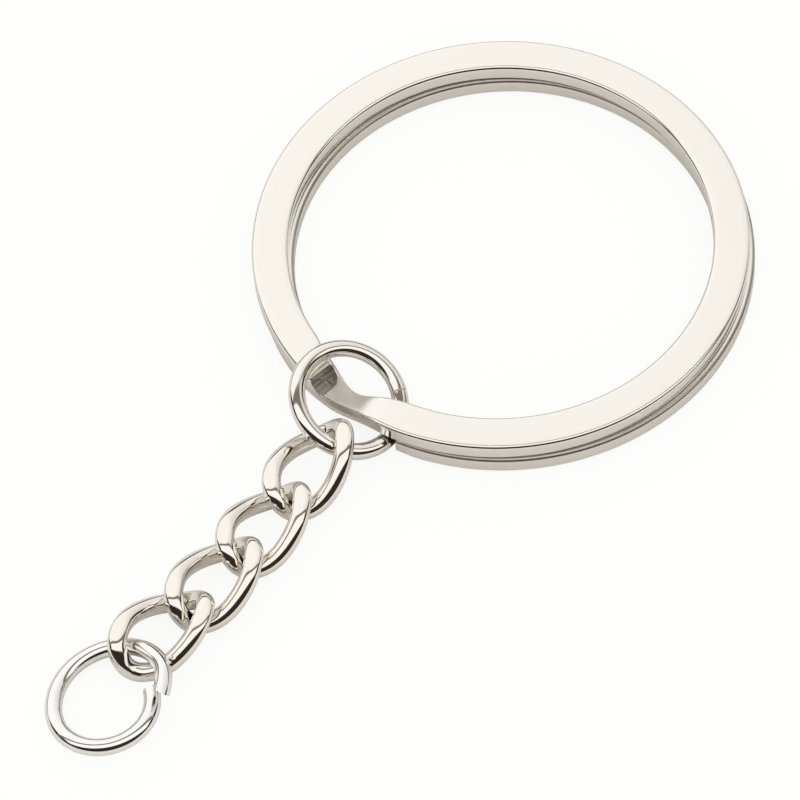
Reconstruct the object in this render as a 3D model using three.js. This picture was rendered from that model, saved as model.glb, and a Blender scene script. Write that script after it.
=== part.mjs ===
// Split key ring with a short twisted chain and two open jump rings, lying flat.
// Lengths in millimetres, angles in degrees, +Z up. Each piece is built around the
// split ring's centre, and the finished group is moved so that the middle of the
// base of its box is the origin. The chain runs towards -X, the split ring is at +X.
import * as THREE from 'three';

// Split ring: one flat strip coiled almost two turns, the upper coil stepping down
// to the lower one through a short crossover.
const RING_OUTER_RADIUS = 15;
const STRIP_WIDTH = 2.2;
const STRIP_THICKNESS = 1.14;
const STRIP_CORNER_RADIUS = 0.17;
const COIL_GAP = 0.05;
const LOWER_COIL_SHIFT = { x: 0.05, y: -0.31 };
const UPPER_END_ANGLE = 171.2;
const UPPER_END_SLANT = 3;
const LOWER_END_ANGLE = 191.2;
const CROSSOVER_HIGH_ANGLE = 187.6;
const CROSSOVER_LOW_ANGLE = 171;

// The strip is squeezed to a narrow waist at the crossover. Its upper end is narrowed
// on the inner side and sprung a little outwards.
const WAIST_ANGLE = 177;
const WAIST_REACH_ANGLE = 16;
const WAIST_INNER_CUT = 0.6;
const WAIST_OUTER_CUT = 0.25;
const UPPER_END_TAPER_ANGLE = 14;
const UPPER_END_INNER_CUT = 0.55;
const UPPER_END_SPRING = 0.08;

// Jump rings: round wire bent into an open ring. The free end is lifted out of the
// ring's plane, and both ends can be set in or out over the last part of the bend.
const JUMP_WIRE_RADIUS = 0.5;
const UPPER_JUMP_RING = {
  centre: [-14.3, 0.46, 1.92],
  radius: 3.25,
  leanAngle: -78.5,
  tilt: 25.5,
  freeEnd: { angle: -34, bend: 120, spread: -0.04, lift: 0.12 },
  fixedEnd: { angle: -37.6, bend: 120, spread: 0 },
};
const END_JUMP_RING = {
  centre: [-37.81, -0.97, 1.045],
  radius: 3.72,
  leanAngle: 90.5,
  tilt: 8.1,
  freeEnd: { angle: -62, bend: 113, spread: -0.86, lift: 1.12 },
  fixedEnd: { angle: -40, bend: 174, spread: -1.7 },
};

// Chain: four curb links, each an oval of round wire twisted from one nose to the
// other, with its proud corners pressed flat above and below.
const LINK_HALF_LENGTH = 2.97;
const LINK_HALF_WIDTH = 1.83;
const LINK_OVAL_POWER = 2.36;
const LINK_TWIST = 45;
const LINK_WIRE_RADIUS = 0.56;
const LINK_HALF_HEIGHT = 1.15;
const LINKS = [
  { centre: [-19.12, -0.41, 1.51], heading: 183.5, pitch: -6.5, roll: 5 },
  { centre: [-23.8, -0.68, 1.29], heading: 180.6, pitch: 0.8, roll: 4 },
  { centre: [-28.4, -0.63, 1.27], heading: 177.4, pitch: -1.2, roll: 0.5 },
  { centre: [-32.81, -0.24, 1.24], heading: 167.4, pitch: -1.2, roll: -1.5 },
];

// Facet counts
const COIL_STEP_ANGLE = 4;
const CORNER_SEGMENTS = 2;
const WIRE_SIDES = 10;
const JUMP_RING_STEPS = 44;
const LINK_STEPS = 40;

const UP = new THREE.Vector3(0, 0, 1);

const radians = THREE.MathUtils.degToRad;
const smooth = (x) => THREE.MathUtils.smoothstep(x, 0, 1);

/** The volume enclosed by an indexed mesh, below zero if its faces point inwards. */
function signedVolume(points, triangles) {
  let six = 0;
  for (const [a, b, c] of triangles) {
    six += points[a].dot(new THREE.Vector3().crossVectors(points[b], points[c]));
  }
  return six / 6;
}

/** A closed solid through a row of equal loops of points: a ring, or a bar with two ends. */
function solidThroughLoops(loops, joinsItself) {
  const sides = loops[0].length;
  const points = loops.flat();
  const triangles = [];
  const spans = joinsItself ? loops.length : loops.length - 1;
  for (let i = 0; i < spans; i += 1) {
    const here = i * sides;
    const next = ((i + 1) % loops.length) * sides;
    for (let k = 0; k < sides; k += 1) {
      const k2 = (k + 1) % sides;
      triangles.push([here + k, next + k, next + k2], [here + k, next + k2, here + k2]);
    }
  }
  if (!joinsItself) {
    const last = (loops.length - 1) * sides;
    for (let k = 1; k + 1 < sides; k += 1) {
      triangles.push([0, k, k + 1], [last, last + k + 1, last + k]);
    }
  }
  if (signedVolume(points, triangles) < 0) {
    triangles.forEach((t) => t.reverse());
  }
  const geometry = new THREE.BufferGeometry().setFromPoints(points);
  geometry.setIndex(triangles.flat());
  geometry.computeVertexNormals();
  return geometry;
}

/** Points around a rectangle with round corners, its middle at the origin. */
function roundedRectangle(width, height, radius) {
  const outline = [];
  for (let corner = 0; corner < 4; corner += 1) {
    const sx = corner === 0 || corner === 3 ? 1 : -1;
    const sy = corner < 2 ? 1 : -1;
    for (let i = 0; i <= CORNER_SEGMENTS; i += 1) {
      const angle = radians(90 * (corner + i / CORNER_SEGMENTS));
      outline.push(new THREE.Vector2(
        sx * (width / 2 - radius) + radius * Math.cos(angle),
        sy * (height / 2 - radius) + radius * Math.sin(angle),
      ));
    }
  }
  return outline;
}

/** 1 at the middle of a squeeze, falling smoothly to 0 at its reach on either side. */
const squeeze = (distance, reach) => smooth(1 - Math.abs(distance) / reach);

/** The strip's shape a turn angle away from the upper end, going clockwise and down. */
function coilAt(turned) {
  const rampStart = UPPER_END_ANGLE + 360 - CROSSOVER_HIGH_ANGLE;
  const rampLength = CROSSOVER_HIGH_ANGLE - CROSSOVER_LOW_ANGLE;
  const down = smooth((turned - rampStart) / rampLength);
  const waist = squeeze(turned - (UPPER_END_ANGLE + 360 - WAIST_ANGLE), WAIST_REACH_ANGLE);
  const tip = squeeze(turned, UPPER_END_TAPER_ANGLE);
  const outer = RING_OUTER_RADIUS - WAIST_OUTER_CUT * waist + UPPER_END_SPRING * tip;
  const inner = RING_OUTER_RADIUS - STRIP_WIDTH
    + WAIST_INNER_CUT * waist + UPPER_END_INNER_CUT * tip;
  const level = (STRIP_THICKNESS + COIL_GAP) * (1 - down) + STRIP_THICKNESS / 2;
  return {
    radius: (outer + inner) / 2,
    width: outer - inner,
    centre: new THREE.Vector3(down * LOWER_COIL_SHIFT.x, down * LOWER_COIL_SHIFT.y, level),
  };
}

function splitRing() {
  const turns = UPPER_END_ANGLE + 720 - LOWER_END_ANGLE;
  const steps = Math.round(turns / COIL_STEP_ANGLE);
  const loops = [];
  for (let i = 0; i <= steps; i += 1) {
    const turned = (turns * i) / steps;
    const slant = i === 0 ? UPPER_END_SLANT : 0;
    const { width } = coilAt(turned);
    const section = roundedRectangle(width, STRIP_THICKNESS, STRIP_CORNER_RADIUS);
    loops.push(section.map((p) => {
      const cutBack = slant * (p.y / STRIP_THICKNESS + 0.5);
      const angle = radians(UPPER_END_ANGLE - turned - cutBack);
      const outwards = new THREE.Vector3(Math.cos(angle), Math.sin(angle), 0);
      const { radius, centre } = coilAt(turned + cutBack);
      return centre
        .addScaledVector(outwards, radius + p.x)
        .addScaledVector(UP, p.y);
    }));
  }
  return solidThroughLoops(loops, false);
}

/** Loops of round wire around a path, each square to the path. */
function wireLoops(path, radius, closed) {
  const count = path.length;
  return path.map((middle, i) => {
    const before = path[closed ? (i + count - 1) % count : Math.max(i - 1, 0)];
    const after = path[closed ? (i + 1) % count : Math.min(i + 1, count - 1)];
    const along = after.clone().sub(before).normalize();
    const side = new THREE.Vector3().crossVectors(along, UP).normalize();
    const over = new THREE.Vector3().crossVectors(side, along);
    const loop = [];
    for (let k = 0; k < WIRE_SIDES; k += 1) {
      const angle = radians((360 * k) / WIRE_SIDES);
      loop.push(middle.clone()
        .addScaledVector(side, radius * Math.cos(angle))
        .addScaledVector(over, radius * Math.sin(angle)));
    }
    return loop;
  });
}

/** An open jump ring, tilted so that its axis leans towards leanAngle. */
function jumpRing(ring) {
  const lean = radians(ring.leanAngle);
  const leanAxis = new THREE.Vector3(-Math.sin(lean), Math.cos(lean), 0);
  const turn = new THREE.Quaternion().setFromAxisAngle(leanAxis, radians(ring.tilt));
  const { freeEnd, fixedEnd } = ring;
  const sweep = 360 + fixedEnd.angle - freeEnd.angle;
  const path = [];
  for (let i = 0; i <= JUMP_RING_STEPS; i += 1) {
    const turned = (sweep * i) / JUMP_RING_STEPS;
    const angle = radians(freeEnd.angle + turned);
    const free = smooth(1 - turned / freeEnd.bend);
    const fixed = smooth(1 - (sweep - turned) / fixedEnd.bend);
    const radius = ring.radius + freeEnd.spread * free + fixedEnd.spread * fixed;
    path.push(new THREE.Vector3(
      radius * Math.cos(angle),
      radius * Math.sin(angle),
      freeEnd.lift * free,
    ));
  }
  const loops = wireLoops(path, JUMP_WIRE_RADIUS, false);
  const centre = new THREE.Vector3(...ring.centre);
  loops.flat().forEach((p) => p.applyQuaternion(turn).add(centre));
  return solidThroughLoops(loops, false);
}

/** A point on a link's middle line, with its length along +X and lying around the origin. */
function linkPoint(angle) {
  const c = Math.cos(angle);
  const s = Math.sin(angle);
  const power = 2 / LINK_OVAL_POWER;
  const along = LINK_HALF_LENGTH * Math.sign(c) * Math.abs(c) ** power;
  const across = LINK_HALF_WIDTH * Math.sign(s) * Math.abs(s) ** power;
  const twist = radians((-LINK_TWIST * along) / LINK_HALF_LENGTH);
  return new THREE.Vector3(along, across * Math.cos(twist), across * Math.sin(twist));
}

function curbLink() {
  const path = [];
  for (let i = 0; i < LINK_STEPS; i += 1) {
    path.push(linkPoint(radians((360 * i) / LINK_STEPS)));
  }
  const loops = wireLoops(path, LINK_WIRE_RADIUS, true);
  loops.flat().forEach((p) => {
    p.z = THREE.MathUtils.clamp(p.z, -LINK_HALF_HEIGHT, LINK_HALF_HEIGHT);
  });
  return solidThroughLoops(loops, true);
}

function metal(colour, roughness) {
  return new THREE.MeshStandardMaterial({ color: colour, roughness, metalness: 1 });
}

const ringMetal = metal(0xf4efe6, 0.16);
const jumpRingMetal = metal(0xefeee8, 0.14);
const endRingMetal = metal(0xf5f6f4, 0.12);
const chainMetal = metal(0xefe8da, 0.18);

const assembly = new THREE.Group();

function addPiece(name, geometry, material) {
  const piece = new THREE.Mesh(geometry, material);
  piece.name = name;
  assembly.add(piece);
  return piece;
}

addPiece('split_ring', splitRing(), ringMetal);
addPiece('upper_jump_ring', jumpRing(UPPER_JUMP_RING), jumpRingMetal);

LINKS.forEach(({ centre, heading, pitch, roll }, i) => {
  const link = addPiece(`chain_link_${i + 1}`, curbLink(), chainMetal);
  link.position.set(...centre);
  link.rotation.set(radians(roll), -radians(pitch), radians(heading), 'ZYX');
});

addPiece('end_jump_ring', jumpRing(END_JUMP_RING), endRingMetal);

const box = new THREE.Box3().setFromObject(assembly, true);
const middle = box.getCenter(new THREE.Vector3());
assembly.position.set(-middle.x, -middle.y, -box.min.z);

export default assembly;
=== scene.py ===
"""Split key ring with a short curb chain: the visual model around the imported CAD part.

Design lengths are in millimetres around the split ring's centre, as in the CAD part,
and every piece is moved into the frame and scaled to metres when its mesh is made.
"""

import math

import bmesh
import bpy
import numpy as np
from mathutils import Matrix, Vector


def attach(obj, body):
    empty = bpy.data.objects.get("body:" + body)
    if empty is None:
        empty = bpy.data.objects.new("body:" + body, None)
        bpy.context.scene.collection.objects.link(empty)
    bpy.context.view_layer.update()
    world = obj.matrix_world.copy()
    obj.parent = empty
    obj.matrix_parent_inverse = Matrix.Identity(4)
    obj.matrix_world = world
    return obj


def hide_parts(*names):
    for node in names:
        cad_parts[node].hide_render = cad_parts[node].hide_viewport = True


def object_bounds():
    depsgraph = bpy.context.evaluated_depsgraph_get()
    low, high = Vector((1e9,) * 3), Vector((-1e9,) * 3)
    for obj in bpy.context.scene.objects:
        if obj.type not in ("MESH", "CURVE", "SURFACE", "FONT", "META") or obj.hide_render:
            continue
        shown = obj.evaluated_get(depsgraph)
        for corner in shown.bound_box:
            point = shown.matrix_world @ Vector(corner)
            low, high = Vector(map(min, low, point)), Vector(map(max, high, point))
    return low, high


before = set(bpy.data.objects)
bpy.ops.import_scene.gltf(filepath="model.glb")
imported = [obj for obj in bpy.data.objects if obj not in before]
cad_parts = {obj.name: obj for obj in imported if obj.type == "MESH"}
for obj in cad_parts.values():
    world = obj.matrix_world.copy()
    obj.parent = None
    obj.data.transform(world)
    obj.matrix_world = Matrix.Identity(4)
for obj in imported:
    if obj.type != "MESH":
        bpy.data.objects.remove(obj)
cad_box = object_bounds()

MM = 0.001

# Split ring
RING_OUTER_RADIUS = 15.0
STRIP_WIDTH = 2.2
STRIP_THICKNESS = 1.14
STRIP_CORNER_RADIUS = 0.17
TOP_CORNER_RADIUS = 0.23
UPPER_END_FOOT_ROUNDING = 0.3
LOWER_END_FOOT_ROUNDING = 0.16
BURR_SIZE = 0.035
COIL_GAP = 0.05
LOWER_COIL_SHIFT = (0.05, -0.31)
UPPER_END_ANGLE = 171.2
UPPER_END_SLANT = 3.0
LOWER_END_ANGLE = 191.2
CROSSOVER_HIGH_ANGLE = 187.6
CROSSOVER_LOW_ANGLE = 171.0
WAIST_ANGLE = 177.0
WAIST_REACH_ANGLE = 16.0
WAIST_INNER_CUT = 0.6
WAIST_OUTER_CUT = 0.25
UPPER_END_TAPER_ANGLE = 14.0
UPPER_END_INNER_CUT = 0.55
UPPER_END_SPRING = 0.08
CROWN_DROP = 0.016
CROWN_START = 0.5

# Painted shade in the split ring's base colour, at these strengths: the first is painted shade for
# the dark gap between the coils and lies along the strip's lower corners, the second painted shade
# for the dark streak on the upper half of the crossover's outer wall, and the third painted shade on
# the top corners of the lower coil. The two constants after them say where the top of the ramp is
# rougher and where the wall's painted shade lies.
GAP_PAINTED_SHADE = 0.8
WALL_PAINTED_SHADE = 0.8
LEDGE_PAINTED_SHADE = 0.65
RAMP_WEAR_AND_SHADE_ANGLE = 176.0
RAMP_WEAR_AND_SHADE_REACH = 12.0

# Jump rings
JUMP_WIRE_RADIUS = 0.5
UPPER_JUMP_RING = {
    "centre": (-14.3, 0.46, 1.92),
    "radius": 3.25,
    "lean_angle": -78.5,
    "tilt": 25.5,
    "free_end": {"angle": -34.0, "bend": 120.0, "spread": -0.04, "lift": 0.12, "cut": (0.0, 0.0)},
    "fixed_end": {"angle": -35.1, "bend": 120.0, "spread": 0.0},
}
END_JUMP_RING = {
    "centre": (-37.81, -0.97, 1.045),
    "radius": 3.72,
    "lean_angle": 90.5,
    "tilt": 8.1,
    "free_end": {"angle": -62.0, "bend": 113.0, "spread": -0.86, "lift": 1.12, "cut": (0.6, 0.75)},
    "fixed_end": {"angle": -40.0, "bend": 174.0, "spread": -1.7},
}


# Cut ends: how dark a jump ring's ends are beside the split ring's, how dark the first end
# of a sweep is beside its last, and over how many loops a slanted cut fades out
WIRE_END_DARKNESS = 0.25
FIRST_END_DARKNESS = 0.75
SLANTED_CUT_LOOPS = 14

# Chain links
LINK_HALF_LENGTH = 2.97
LINK_HALF_WIDTH = 1.83
LINK_OVAL_POWER = 2.36
LINK_TWIST = 45.0
LINK_WIRE_RADIUS = 0.56
LINK_HALF_HEIGHT = 1.15
LINKS = [
    {"centre": (-19.12, -0.41, 1.51), "heading": 183.5, "pitch": -6.5, "roll": 5.0},
    {"centre": (-23.8, -0.68, 1.29), "heading": 180.6, "pitch": 0.8, "roll": 4.0},
    {"centre": (-28.4, -0.63, 1.27), "heading": 177.4, "pitch": -1.2, "roll": 0.5},
    {"centre": (-32.81, -0.24, 1.24), "heading": 167.4, "pitch": -1.2, "roll": -1.5},
]

UP = np.array([0.0, 0.0, 1.0])


def smooth(x):
    """An S-shaped rise from 0 to 1 while x goes from 0 to 1."""
    t = np.clip(x, 0.0, 1.0)
    return t * t * (3.0 - 2.0 * t)


def unit(v):
    """Vectors scaled to a length of 1."""
    return v / np.linalg.norm(v, axis=-1, keepdims=True)


# ---------------------------------------------------------------- mesh building

def path_frames(path, closed):
    """Unit vectors along, to the side of and over each point of a path."""
    if closed:
        along = np.roll(path, -1, 0) - np.roll(path, 1, 0)
    else:
        along = np.gradient(path, axis=0)
    along = unit(along)
    side = unit(np.cross(along, UP))
    return along, side, np.cross(side, along)


def sweep_faces(rows, columns, joins_itself):
    """Quads between each loop of points and the next one."""
    faces = []
    for i in range(rows if joins_itself else rows - 1):
        a = i * columns
        b = ((i + 1) % rows) * columns
        for k in range(columns):
            n = (k + 1) % columns
            faces.append((a + k, a + n, b + n, b + k))
    return faces


def new_object(name, points, faces, material, offset):
    """A smooth-shaded object from design points in millimetres."""
    mesh = bpy.data.meshes.new(name)
    mesh.from_pydata(((points + offset) * MM).tolist(), [], faces)
    mesh.materials.append(material)
    mesh.polygons.foreach_set("use_smooth", [True] * len(mesh.polygons))
    mesh.validate()
    mesh.update()
    piece = bpy.data.objects.new(name, mesh)
    bpy.context.scene.collection.objects.link(piece)
    return piece


def orient_outwards(piece):
    bm = bmesh.new()
    bm.from_mesh(piece.data)
    bmesh.ops.recalc_face_normals(bm, faces=bm.faces)
    bm.to_mesh(piece.data)
    bm.free()


# ---------------------------------------------------------------- split ring

CORNER_STEPS = 7
FLAT_STEPS = 8


def strip_section(width, top_radius, bottom_radius):
    """Outline of the strip's section: (outwards, up) pairs, counter-clockwise."""
    hw, hh = width / 2, STRIP_THICKNESS / 2
    corners = []
    for corner, (sx, sy) in enumerate([(1, 1), (-1, 1), (-1, -1), (1, -1)]):
        r = top_radius if sy > 0 else bottom_radius
        turn = np.radians(90 * (corner + np.arange(CORNER_STEPS + 1) / CORNER_STEPS))
        across = sx * (hw - r) + r * np.cos(turn)
        height = sy * (hh - r) + r * np.sin(turn)
        corners.append(np.stack([across, height], -1))
    outline = []
    for i, corner in enumerate(corners):
        outline.extend(corner)
        start, end = corner[-1], corners[(i + 1) % 4][0]
        for t in np.arange(1, FLAT_STEPS) / FLAT_STEPS:
            outline.append(start + (end - start) * t)
    outline = np.array(outline)
    rolled = np.clip((np.abs(outline[:, 0]) - (hw - CROWN_START)) / CROWN_START, 0, 1)
    outline[:, 1] -= CROWN_DROP * rolled ** 2 * np.sign(outline[:, 1])
    return outline


def squeeze(distance, reach):
    """1 at the middle of a squeeze, falling smoothly to 0 at its reach on either side."""
    return smooth(1.0 - np.abs(distance) / reach)


def coil_at(turned):
    """Mean radius, width and centre of the strip, a turn angle on from the upper end."""
    ramp_start = UPPER_END_ANGLE + 360.0 - CROSSOVER_HIGH_ANGLE
    down = smooth((turned - ramp_start) / (CROSSOVER_HIGH_ANGLE - CROSSOVER_LOW_ANGLE))
    waist = squeeze(turned - (UPPER_END_ANGLE + 360.0 - WAIST_ANGLE), WAIST_REACH_ANGLE)
    tip = squeeze(turned, UPPER_END_TAPER_ANGLE)
    outer = RING_OUTER_RADIUS - WAIST_OUTER_CUT * waist + UPPER_END_SPRING * tip
    inner = RING_OUTER_RADIUS - STRIP_WIDTH + WAIST_INNER_CUT * waist + UPPER_END_INNER_CUT * tip
    level = (STRIP_THICKNESS + COIL_GAP) * (1 - down) + STRIP_THICKNESS / 2
    centre = np.stack([down * LOWER_COIL_SHIFT[0], down * LOWER_COIL_SHIFT[1], level], -1)
    return (outer + inner) / 2, outer - inner, centre


def strip_row(turned, section):
    """The section's outline standing across the coil, the upper end's slant included."""
    slant = UPPER_END_SLANT * max(0.0, 1.0 - turned / 4.0)
    cut = slant * (section[:, 1] / STRIP_THICKNESS + 0.5)
    angle = np.radians(UPPER_END_ANGLE - turned - cut)
    out = np.stack([np.cos(angle), np.sin(angle), np.zeros_like(angle)], -1)
    radius, _, centre = coil_at(turned + cut)
    return centre + out * (radius + section[:, 0])[:, None] + UP * section[:, 1:]


COIL_ANGLE = UPPER_END_ANGLE + 720.0 - LOWER_END_ANGLE
RAMP_FOOT_TURN = UPPER_END_ANGLE + 360.0 - CROSSOVER_LOW_ANGLE


def coil_stations():
    """Turn angles from the upper end at which the strip gets a section, closer at its ends."""
    near_end = np.array([0.0, 0.1, 0.22, 0.4, 0.7, 1.1, 1.7, 2.5, 3.4])
    body = np.linspace(4.4, COIL_ANGLE - 4.4, int(COIL_ANGLE / 1.2))
    return np.concatenate([near_end, body, COIL_ANGLE - near_end[::-1]])


def split_ring_shade_and_wear():
    """How much painted shade the strip's colour carries and how rough the strip is, at each station
    and point of its section.
    """
    stations = coil_stations()
    section = strip_section(STRIP_WIDTH, TOP_CORNER_RADIUS, STRIP_CORNER_RADIUS)
    below_top = STRIP_THICKNESS / 2 - section[:, 1]
    above_bottom = section[:, 1] + STRIP_THICKNESS / 2
    inside_side = STRIP_WIDTH / 2 - np.abs(section[:, 0])
    inside_outer_wall = STRIP_WIDTH / 2 - section[:, 0]
    # Painted shade along the strip's lower corners, for the dark gap between the coils
    low_corner = smooth((0.16 - above_bottom) / 0.12)
    painted_shade = np.tile(GAP_PAINTED_SHADE * low_corner, (len(stations), 1))
    # Painted shade on the top corners of the lower coil, past the foot of the ramp
    top_corner = smooth((0.2 - below_top) / 0.06) * smooth((0.2 - inside_side) / 0.08)
    on_lower_coil = smooth((stations - RAMP_FOOT_TURN) / 6.0)
    painted_shade = np.maximum(painted_shade, LEDGE_PAINTED_SHADE * np.outer(on_lower_coil, top_corner))
    # Painted shade on the upper half of the crossover's outer wall, and rougher metal on top of the
    # ramp, around the same stretch of the turn
    ramp_shade_and_wear = squeeze(stations - (UPPER_END_ANGLE + 360.0 - RAMP_WEAR_AND_SHADE_ANGLE), RAMP_WEAR_AND_SHADE_REACH)
    outer_wall = smooth((0.1 - inside_outer_wall) / 0.06)
    upper_half = smooth((section[:, 1] + 0.1) / 0.2)
    painted_shade = np.maximum(painted_shade, WALL_PAINTED_SHADE * np.outer(ramp_shade_and_wear, outer_wall * upper_half))
    worn = np.outer(ramp_shade_and_wear, smooth((0.12 - below_top) / 0.1))
    return painted_shade, worn


def split_ring_rows():
    """The strip's sections along both coils, rounder at the feet of its two cut ends."""
    rows = []
    for turned in coil_stations():
        _, width, _ = coil_at(turned)
        upper_tip = squeeze(turned, 4.0)
        lower_tip = squeeze(COIL_ANGLE - turned, 5.0)
        bottom = (STRIP_CORNER_RADIUS + UPPER_END_FOOT_ROUNDING * upper_tip
                  + LOWER_END_FOOT_ROUNDING * lower_tip)
        section = strip_section(width, TOP_CORNER_RADIUS, bottom)
        burr = BURR_SIZE * squeeze(turned - 0.1, 0.35)
        lower = np.clip(-section[:, 1:] / (STRIP_THICKNESS / 2), 0, 1)
        section = section * (1 + burr * lower)
        rows.append(strip_row(turned, section))
    return np.array(rows)


# ---------------------------------------------------------------- jump rings

def wire_rows(path, radius, closed, sides=32):
    """Round loops of wire around a path, each square to it."""
    along, side, over = path_frames(path, closed)
    a = np.radians(360.0 * np.arange(sides) / sides)
    return (path[:, None]
            + side[:, None] * (radius * np.cos(a))[None, :, None]
            + over[:, None] * (radius * np.sin(a))[None, :, None])


def jump_ring_path(ring, steps=220):
    """An open ring's middle line in its own plane, from its free end to its fixed end."""
    free_end, fixed_end = ring["free_end"], ring["fixed_end"]
    sweep = 360.0 + fixed_end["angle"] - free_end["angle"]
    turned = sweep * np.arange(steps + 1) / steps
    free = smooth(1.0 - turned / free_end["bend"])
    fixed = smooth(1.0 - (sweep - turned) / fixed_end["bend"])
    angle = np.radians(free_end["angle"] + turned)
    radius = ring["radius"] + free_end["spread"] * free + fixed_end["spread"] * fixed
    return np.stack([radius * np.cos(angle), radius * np.sin(angle), free_end["lift"] * free], -1)


def tilt_matrix(ring):
    lean = math.radians(ring["lean_angle"])
    axis = Vector((-math.sin(lean), math.cos(lean), 0.0))
    return np.array(Matrix.Rotation(math.radians(ring["tilt"]), 3, axis))


def slant_free_end(rows, path, cut):
    """Shear the first loops so that the wire's free end is cut at a slant."""
    along, side, over = path_frames(path, False)
    across_slope, over_slope = cut
    for i in range(SLANTED_CUT_LOOPS):
        fade = 1.0 - i / SLANTED_CUT_LOOPS
        local = rows[i] - path[i]
        shear = across_slope * (local @ side[i]) + over_slope * (local @ over[i])
        rows[i] -= along[i] * (fade * shear)[:, None]


def jump_ring_rows(ring):
    path = jump_ring_path(ring)
    rows = wire_rows(path, JUMP_WIRE_RADIUS, False)
    slant_free_end(rows, path, ring["free_end"]["cut"])
    return rows @ tilt_matrix(ring).T + np.array(ring["centre"])


# ---------------------------------------------------------------- chain links

def link_path(steps):
    """A twisted oval, its length along X."""
    t = np.radians(360.0 * np.arange(steps) / steps)
    power = 2.0 / LINK_OVAL_POWER
    along = LINK_HALF_LENGTH * np.sign(np.cos(t)) * np.abs(np.cos(t)) ** power
    across = LINK_HALF_WIDTH * np.sign(np.sin(t)) * np.abs(np.sin(t)) ** power
    twist = np.radians(-LINK_TWIST * along / LINK_HALF_LENGTH)
    return np.stack([along, across * np.cos(twist), across * np.sin(twist)], -1)


def even_path(path, count):
    """The same closed path with its points evenly spaced."""
    loop = np.vstack([path, path[:1]])
    reach = np.concatenate([[0], np.cumsum(np.linalg.norm(np.diff(loop, axis=0), axis=1))])
    want = reach[-1] * np.arange(count) / count
    return np.stack([np.interp(want, reach, loop[:, i]) for i in range(3)], -1)


def link_rows():
    """A link's wire loops, pressed softly flat at its half height above and below."""
    path = even_path(link_path(1600), 200)
    for _ in range(3):
        path = (np.roll(path, 1, 0) + 2 * path + np.roll(path, -1, 0)) / 4
    rows = wire_rows(path, LINK_WIRE_RADIUS, True, 40)
    z = rows[..., 2]
    limit, soft = LINK_HALF_HEIGHT, 0.05
    rows[..., 2] = -soft * np.log(np.exp(-z / soft) + math.exp(-limit / soft))
    z = rows[..., 2]
    rows[..., 2] = soft * np.log(np.exp(z / soft) + math.exp(-limit / soft))
    return rows


def place_link(rows, link):
    turn = (Matrix.Rotation(math.radians(link["heading"]), 3, "Z")
            @ Matrix.Rotation(math.radians(-link["pitch"]), 3, "Y")
            @ Matrix.Rotation(math.radians(link["roll"]), 3, "X"))
    return rows @ np.array(turn).T + np.array(link["centre"])


# ---------------------------------------------------------------- materials

def node_material(name):
    """A new material with an empty node tree."""
    material = bpy.data.materials.new(name)
    material.use_nodes = True
    tree = material.node_tree
    tree.nodes.clear()
    return material, tree


def math_node(nodes, link, operation, a, b=None, c=None, clamp=False):
    """A Math node's output, its inputs given as numbers or sockets."""
    node = nodes.new("ShaderNodeMath")
    node.operation = operation
    node.use_clamp = clamp
    for socket, value in ((0, a), (1, b), (2, c)):
        if value is None:
            continue
        if isinstance(value, (int, float)):
            node.inputs[socket].default_value = value
        else:
            link(value, node.inputs[socket])
    return node.outputs[0]


def noise(nodes, link, vector, scale, detail):
    node = nodes.new("ShaderNodeTexNoise")
    node.inputs["Scale"].default_value = scale
    node.inputs["Detail"].default_value = detail
    link(vector, node.inputs["Vector"])
    return node


def mixed(nodes, link, factor, a, b):
    """A blend of two colours or sockets by a factor socket."""
    node = nodes.new("ShaderNodeMix")
    node.data_type = "RGBA"
    link(factor, node.inputs["Factor"])
    for socket, value in (("A", a), ("B", b)):
        if isinstance(value, tuple):
            node.inputs[socket].default_value = value
        else:
            link(value, node.inputs[socket])
    return node.outputs["Result"]


# Colours of torn cut ends, also given to the painted shade marked on the split ring
TORN_END_AND_SHADE_DARK = (0.16, 0.135, 0.105, 1)
TORN_END_AND_SHADE_LIGHT = (0.36, 0.32, 0.27, 1)


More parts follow.
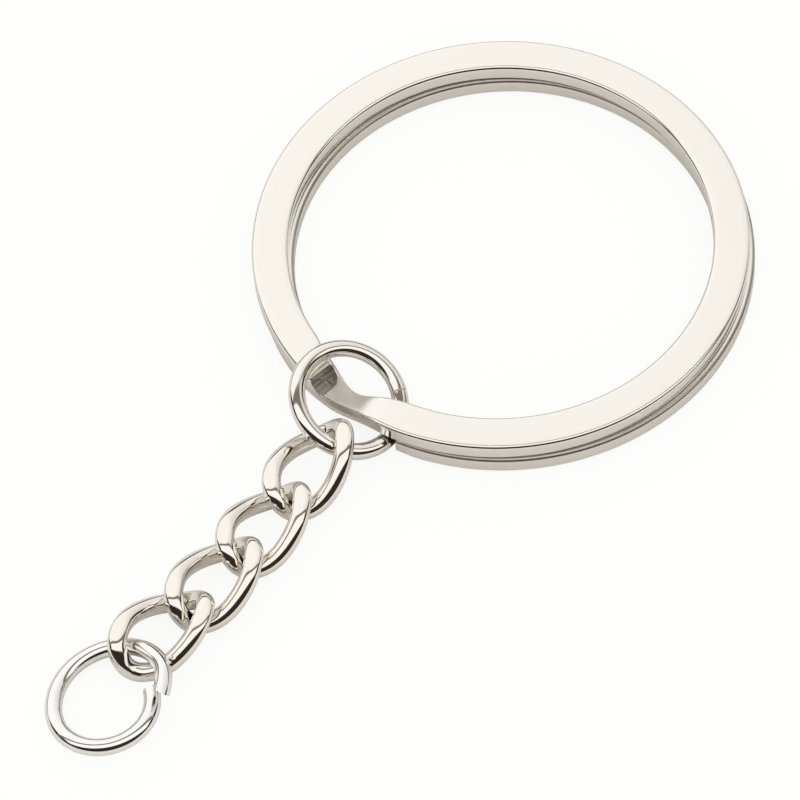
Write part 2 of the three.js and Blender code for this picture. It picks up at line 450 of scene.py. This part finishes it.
def plated(name, light, shade, smooth_side, smooth_top):
    """Bright nickel plate with a cloudy tone, a fine grain and a slight ripple.

    A point attribute marks torn ends and the painted shade on the split ring, both given the torn
    colours, and "worn" marks duller metal.
    """
    material, tree = node_material(name)
    nodes, link = tree.nodes, tree.links.new
    out = nodes.new("ShaderNodeOutputMaterial")
    shader = nodes.new("ShaderNodeBsdfPrincipled")
    shader.inputs["Metallic"].default_value = 1.0
    coords = nodes.new("ShaderNodeTexCoord")
    cloud = noise(nodes, link, coords.outputs["Object"], 260.0, 4.0)
    fine = noise(nodes, link, coords.outputs["Object"], 5200.0, 3.0)
    mark = nodes.new("ShaderNodeAttribute")
    mark.attribute_name = "sheared_and_shaded"
    tone = mixed(nodes, link, cloud.outputs["Fac"], (*light, 1), (*shade, 1))
    blotch = noise(nodes, link, coords.outputs["Object"], 2600.0, 2.0)
    torn = mixed(nodes, link, blotch.outputs["Fac"], TORN_END_AND_SHADE_DARK, TORN_END_AND_SHADE_LIGHT)
    # The torn colours also paint the split ring's marked shade into the base colour
    both = mixed(nodes, link, mark.outputs["Fac"], tone, torn)
    link(both, shader.inputs["Base Color"])
    up = nodes.new("ShaderNodeSeparateXYZ")
    link(coords.outputs["Normal"], up.inputs[0])
    facing = math_node(nodes, link, "POWER", math_node(nodes, link, "ABSOLUTE", up.outputs[2]), 12.0)
    polish = math_node(nodes, link, "MULTIPLY_ADD", facing, smooth_top - smooth_side, smooth_side)
    grain = math_node(nodes, link, "MULTIPLY_ADD", fine.outputs["Fac"], 0.5, 0.75)
    rough = math_node(nodes, link, "MULTIPLY", polish, grain)
    rough = math_node(nodes, link, "MULTIPLY_ADD", mark.outputs["Fac"], 0.3, rough)
    dull = nodes.new("ShaderNodeAttribute")
    dull.attribute_name = "worn"
    rough = math_node(nodes, link, "MULTIPLY_ADD", dull.outputs["Fac"], 0.35, rough)
    link(rough, shader.inputs["Roughness"])
    ripple = nodes.new("ShaderNodeBump")
    ripple.inputs["Strength"].default_value = 0.1
    ripple.inputs["Distance"].default_value = 0.00002
    link(cloud.outputs["Fac"], ripple.inputs["Height"])
    link(ripple.outputs["Normal"], shader.inputs["Normal"])
    link(shader.outputs["BSDF"], out.inputs["Surface"])
    return material


ring_metal = plated("polished_ring", (0.945, 0.925, 0.885), (0.92, 0.895, 0.85), 0.09, 0.22)
jump_metal = plated("polished_jump_ring", (0.94, 0.925, 0.89), (0.9, 0.875, 0.825), 0.07, 0.07)
end_metal = plated("polished_end_ring", (0.96, 0.96, 0.955), (0.92, 0.92, 0.915), 0.07, 0.07)
chain_metal = plated("polished_chain", (0.95, 0.925, 0.88), (0.9, 0.865, 0.8), 0.07, 0.12)


# ---------------------------------------------------------------- pieces

# Directions and frequencies, in radians per millimetre, of the unevenness of a sheared face
BROAD_WAVE = np.array([9.1, 5.3, 7.7])
CROSS_WAVE = np.array([-6.2, 8.9, 5.9])
FINE_WAVE = np.array([21.0, -17.0, 19.0])


def rough_cap(outline, inwards, depth, grain):
    """Shrinking loops that close an end with a slightly hollow, uneven cut face."""
    middle = outline.mean(0)
    loops = []
    for share in (0.94, 0.86, 0.74, 0.6, 0.45, 0.3, 0.15):
        loop = middle + (outline - middle) * share
        broad = np.sin(loop @ BROAD_WAVE + 1.3) * np.sin(loop @ CROSS_WAVE)
        uneven = broad + 0.5 * np.sin(loop @ FINE_WAVE)
        sink = depth * (1 - share ** 2) + grain * uneven * (1 - share ** 4)
        loops.append(loop + inwards * sink[:, None])
    return loops


def closed_sweep(name, rows, material, joins_itself, offset, torn, shade_and_wear=None, depth=0.03, grain=0.01):
    """A closed piece through loops of points, with its torn ends, any painted shade and its worn
    patches as point attributes.
    """
    shape = rows.shape[:2]
    painted_shade, worn = shade_and_wear if shade_and_wear is not None else (np.zeros(shape), np.zeros(shape))
    # Torn ends and painted shade share one point attribute
    sheared_and_shaded = list(painted_shade)
    if not joins_itself:
        into_start = unit(rows[2].mean(0) - rows[0].mean(0))
        into_end = unit(rows[-3].mean(0) - rows[-1].mean(0))
        first = rough_cap(rows[0], into_start, depth, grain)
        last = rough_cap(rows[-1], into_end, depth, grain)
        rows = np.array(first[::-1] + list(rows) + last)
        first_end = np.full(shape[1], torn * FIRST_END_DARKNESS)
        last_end = np.full(shape[1], torn)
        sheared_and_shaded = [first_end] * len(first) + sheared_and_shaded + [last_end] * len(last)
        unworn = np.zeros(shape[1])
        worn = [unworn] * len(first) + list(worn) + [unworn] * len(last)
    count, sides = rows.shape[:2]
    points = rows.reshape(-1, 3)
    faces = sweep_faces(count, sides, joins_itself)
    if not joins_itself:
        faces.append(tuple(range(sides)))
        faces.append(tuple(range((count - 1) * sides, count * sides)))
    piece = new_object(name, points, faces, material, offset)
    mark = piece.data.attributes.new("sheared_and_shaded", "FLOAT", "POINT")
    mark.data.foreach_set("value", np.array(sheared_and_shaded).ravel())
    mark = piece.data.attributes.new("worn", "FLOAT", "POINT")
    mark.data.foreach_set("value", np.array(worn).ravel())
    orient_outwards(piece)
    return piece


shapes = {
    "split_ring": (split_ring_rows(), False, ring_metal, "split_ring_nickel"),
    "upper_jump_ring": (jump_ring_rows(UPPER_JUMP_RING), False, jump_metal, "jump_ring_nickel"),
    "end_jump_ring": (jump_ring_rows(END_JUMP_RING), False, end_metal, "end_ring_nickel"),
}
for number, link in enumerate(LINKS, 1):
    rows = place_link(link_rows(), link)
    shapes[f"chain_link_{number}"] = (rows, True, chain_metal, "chain_nickel")

# The frame's origin is the middle of the base of the box around all the pieces
everything = np.vstack([rows.reshape(-1, 3) for rows, _, _, _ in shapes.values()])
low, high = np.array(cad_box[0]) / MM, np.array(cad_box[1]) / MM
offset = (low + high) / 2 - (everything.min(0) + everything.max(0)) / 2
offset[2] = 0.0

for node, (rows, joins_itself, material, slot) in shapes.items():
    torn = 1.0 if node == "split_ring" else WIRE_END_DARKNESS
    shade_and_wear = split_ring_shade_and_wear() if node == "split_ring" else None
    piece = closed_sweep(f"{node}_detail", rows, material, joins_itself, offset, torn, shade_and_wear)
    piece.data.set_sharp_from_angle(angle=math.radians(50))
    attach(piece, node)
    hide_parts(node)

# ---------------------------------------------------------------- stage, light, camera

CAMERA_AZIMUTH = -138.21
CAMERA_ELEVATION = 56.61
CAMERA_ROLL = -5.07
CAMERA_DISTANCE = 0.29463
CAMERA_AIM = (-11.607, -1.162, 0.0)  # design millimetres
FLOOR_HALF_SIZE = 3.0
FLOOR_DROP = 0.00003
CAMERA_LENS = 222.98


def build_floor():
    """A table that the camera sees as almost white and reflections see as warm paper."""
    size = FLOOR_HALF_SIZE
    corners = [(-size, -size, 0), (size, -size, 0), (size, size, 0), (-size, size, 0)]
    mesh = bpy.data.meshes.new("floor")
    mesh.from_pydata(corners, [], [(0, 1, 2, 3)])
    floor = bpy.data.objects.new("floor", mesh)
    floor.location.z = -FLOOR_DROP
    bpy.context.scene.collection.objects.link(floor)
    material, tree = node_material("white_table")
    nodes, link = tree.nodes, tree.links.new
    out = nodes.new("ShaderNodeOutputMaterial")
    seen = nodes.new("ShaderNodeLightPath")
    mix = nodes.new("ShaderNodeMixShader")
    paper = nodes.new("ShaderNodeBsdfDiffuse")
    paper.inputs["Color"].default_value = (0.8, 0.775, 0.74, 1)
    bright = nodes.new("ShaderNodeBsdfDiffuse")
    bright.inputs["Color"].default_value = (0.12, 0.12, 0.12, 1)
    glow = nodes.new("ShaderNodeEmission")
    glow.inputs["Color"].default_value = (1.0, 1.0, 0.985, 1)
    glow.inputs["Strength"].default_value = 0.885
    both = nodes.new("ShaderNodeAddShader")
    link(bright.outputs[0], both.inputs[0])
    link(glow.outputs[0], both.inputs[1])
    link(seen.outputs["Is Camera Ray"], mix.inputs[0])
    link(paper.outputs[0], mix.inputs[1])
    link(both.outputs[0], mix.inputs[2])
    link(mix.outputs[0], out.inputs["Surface"])
    mesh.materials.append(material)


def build_world():
    """White to the camera, an even sky for diffuse light, and softboxes for reflections."""
    world = bpy.data.worlds.new("studio")
    bpy.context.scene.world = world
    world.use_nodes = True
    tree = world.node_tree
    tree.nodes.clear()
    nodes, link = tree.nodes, tree.links.new

    def m(op, a, b=None, c=None, clamp=False):
        return math_node(nodes, link, op, a, b, c, clamp)

    def band(value, lo, hi, soft):
        """1 between lo and hi, 0 outside, with soft edges."""
        rise = m("DIVIDE", m("SUBTRACT", value, lo), soft, clamp=True)
        fall = m("DIVIDE", m("SUBTRACT", hi, value), soft, clamp=True)
        return m("MULTIPLY", rise, fall)

    coords = nodes.new("ShaderNodeTexCoord")
    split = nodes.new("ShaderNodeSeparateXYZ")
    link(coords.outputs["Generated"], split.inputs[0])
    x, y, z = split.outputs
    az = math.radians(CAMERA_AZIMUTH)
    ahead = m("ADD", m("MULTIPLY", x, -math.cos(az)), m("MULTIPLY", y, -math.sin(az)))
    right = m("ADD", m("MULTIPLY", x, -math.sin(az)), m("MULTIPLY", y, math.cos(az)))
    # 0 at the far horizon, 90 overhead, 180 at the near horizon
    arc = m("MULTIPLY", m("ARCTAN2", z, ahead), 180 / math.pi)
    fall = m("MULTIPLY_ADD", right, -0.32, 1.02)
    far_panel = m("MULTIPLY", band(arc, 8, 80, 5), m("MINIMUM", fall, 1.04))
    top_panel = m("MULTIPLY", band(arc, 90, 134, 4), 1.06)
    panels = m("MAXIMUM", far_panel, top_panel)
    panels = m("MULTIPLY", panels, band(m("ABSOLUTE", right), -1, 0.93, 0.06))
    gap = m("MULTIPLY", band(arc, 72, 98, 4), 0.22)
    strength = m("MAXIMUM", m("MAXIMUM", panels, gap), 0.03)
    tint = nodes.new("ShaderNodeMix")
    tint.data_type = "RGBA"
    tint.inputs["A"].default_value = (1.0, 0.82, 0.66, 1)
    tint.inputs["B"].default_value = (1.0, 0.985, 0.955, 1)
    link(m("MULTIPLY", panels, 1.4, clamp=True), tint.inputs["Factor"])
    glossy = nodes.new("ShaderNodeBackground")
    link(tint.outputs["Result"], glossy.inputs["Color"])
    link(strength, glossy.inputs["Strength"])
    even = nodes.new("ShaderNodeBackground")
    even.inputs["Color"].default_value = (1.0, 0.985, 0.96, 1)
    even.inputs["Strength"].default_value = 1.0
    white = nodes.new("ShaderNodeBackground")
    white.inputs["Color"].default_value = (1.0, 1.0, 0.985, 1)
    seen = nodes.new("ShaderNodeLightPath")
    lit = nodes.new("ShaderNodeMixShader")
    mix = nodes.new("ShaderNodeMixShader")
    out = nodes.new("ShaderNodeOutputWorld")
    link(seen.outputs["Is Diffuse Ray"], lit.inputs[0])
    link(glossy.outputs[0], lit.inputs[1])
    link(even.outputs[0], lit.inputs[2])
    link(seen.outputs["Is Camera Ray"], mix.inputs[0])
    link(lit.outputs[0], mix.inputs[1])
    link(white.outputs[0], mix.inputs[2])
    link(mix.outputs[0], out.inputs["Surface"])


def build_camera():
    az, el = math.radians(CAMERA_AZIMUTH), math.radians(CAMERA_ELEVATION)
    back = Vector((math.cos(az) * math.cos(el), math.sin(az) * math.cos(el), math.sin(el)))
    right = Vector((-math.sin(az), math.cos(az), 0.0))
    up = back.cross(right)
    turn = Matrix((right, up, back)).transposed() @ Matrix.Rotation(math.radians(CAMERA_ROLL), 3, "Z")
    data = bpy.data.cameras.new("camera")
    data.sensor_width = 36.0
    data.lens = CAMERA_LENS
    data.clip_start = 0.01
    camera = bpy.data.objects.new("camera", data)
    aim = Vector(((np.array(CAMERA_AIM) + offset) * MM).tolist())
    camera.matrix_world = Matrix.Translation(aim + back * CAMERA_DISTANCE) @ turn.to_4x4()
    bpy.context.scene.collection.objects.link(camera)
    bpy.context.scene.camera = camera


build_floor()
build_world()
build_camera()
bpy.context.scene.view_settings.view_transform = "Standard"
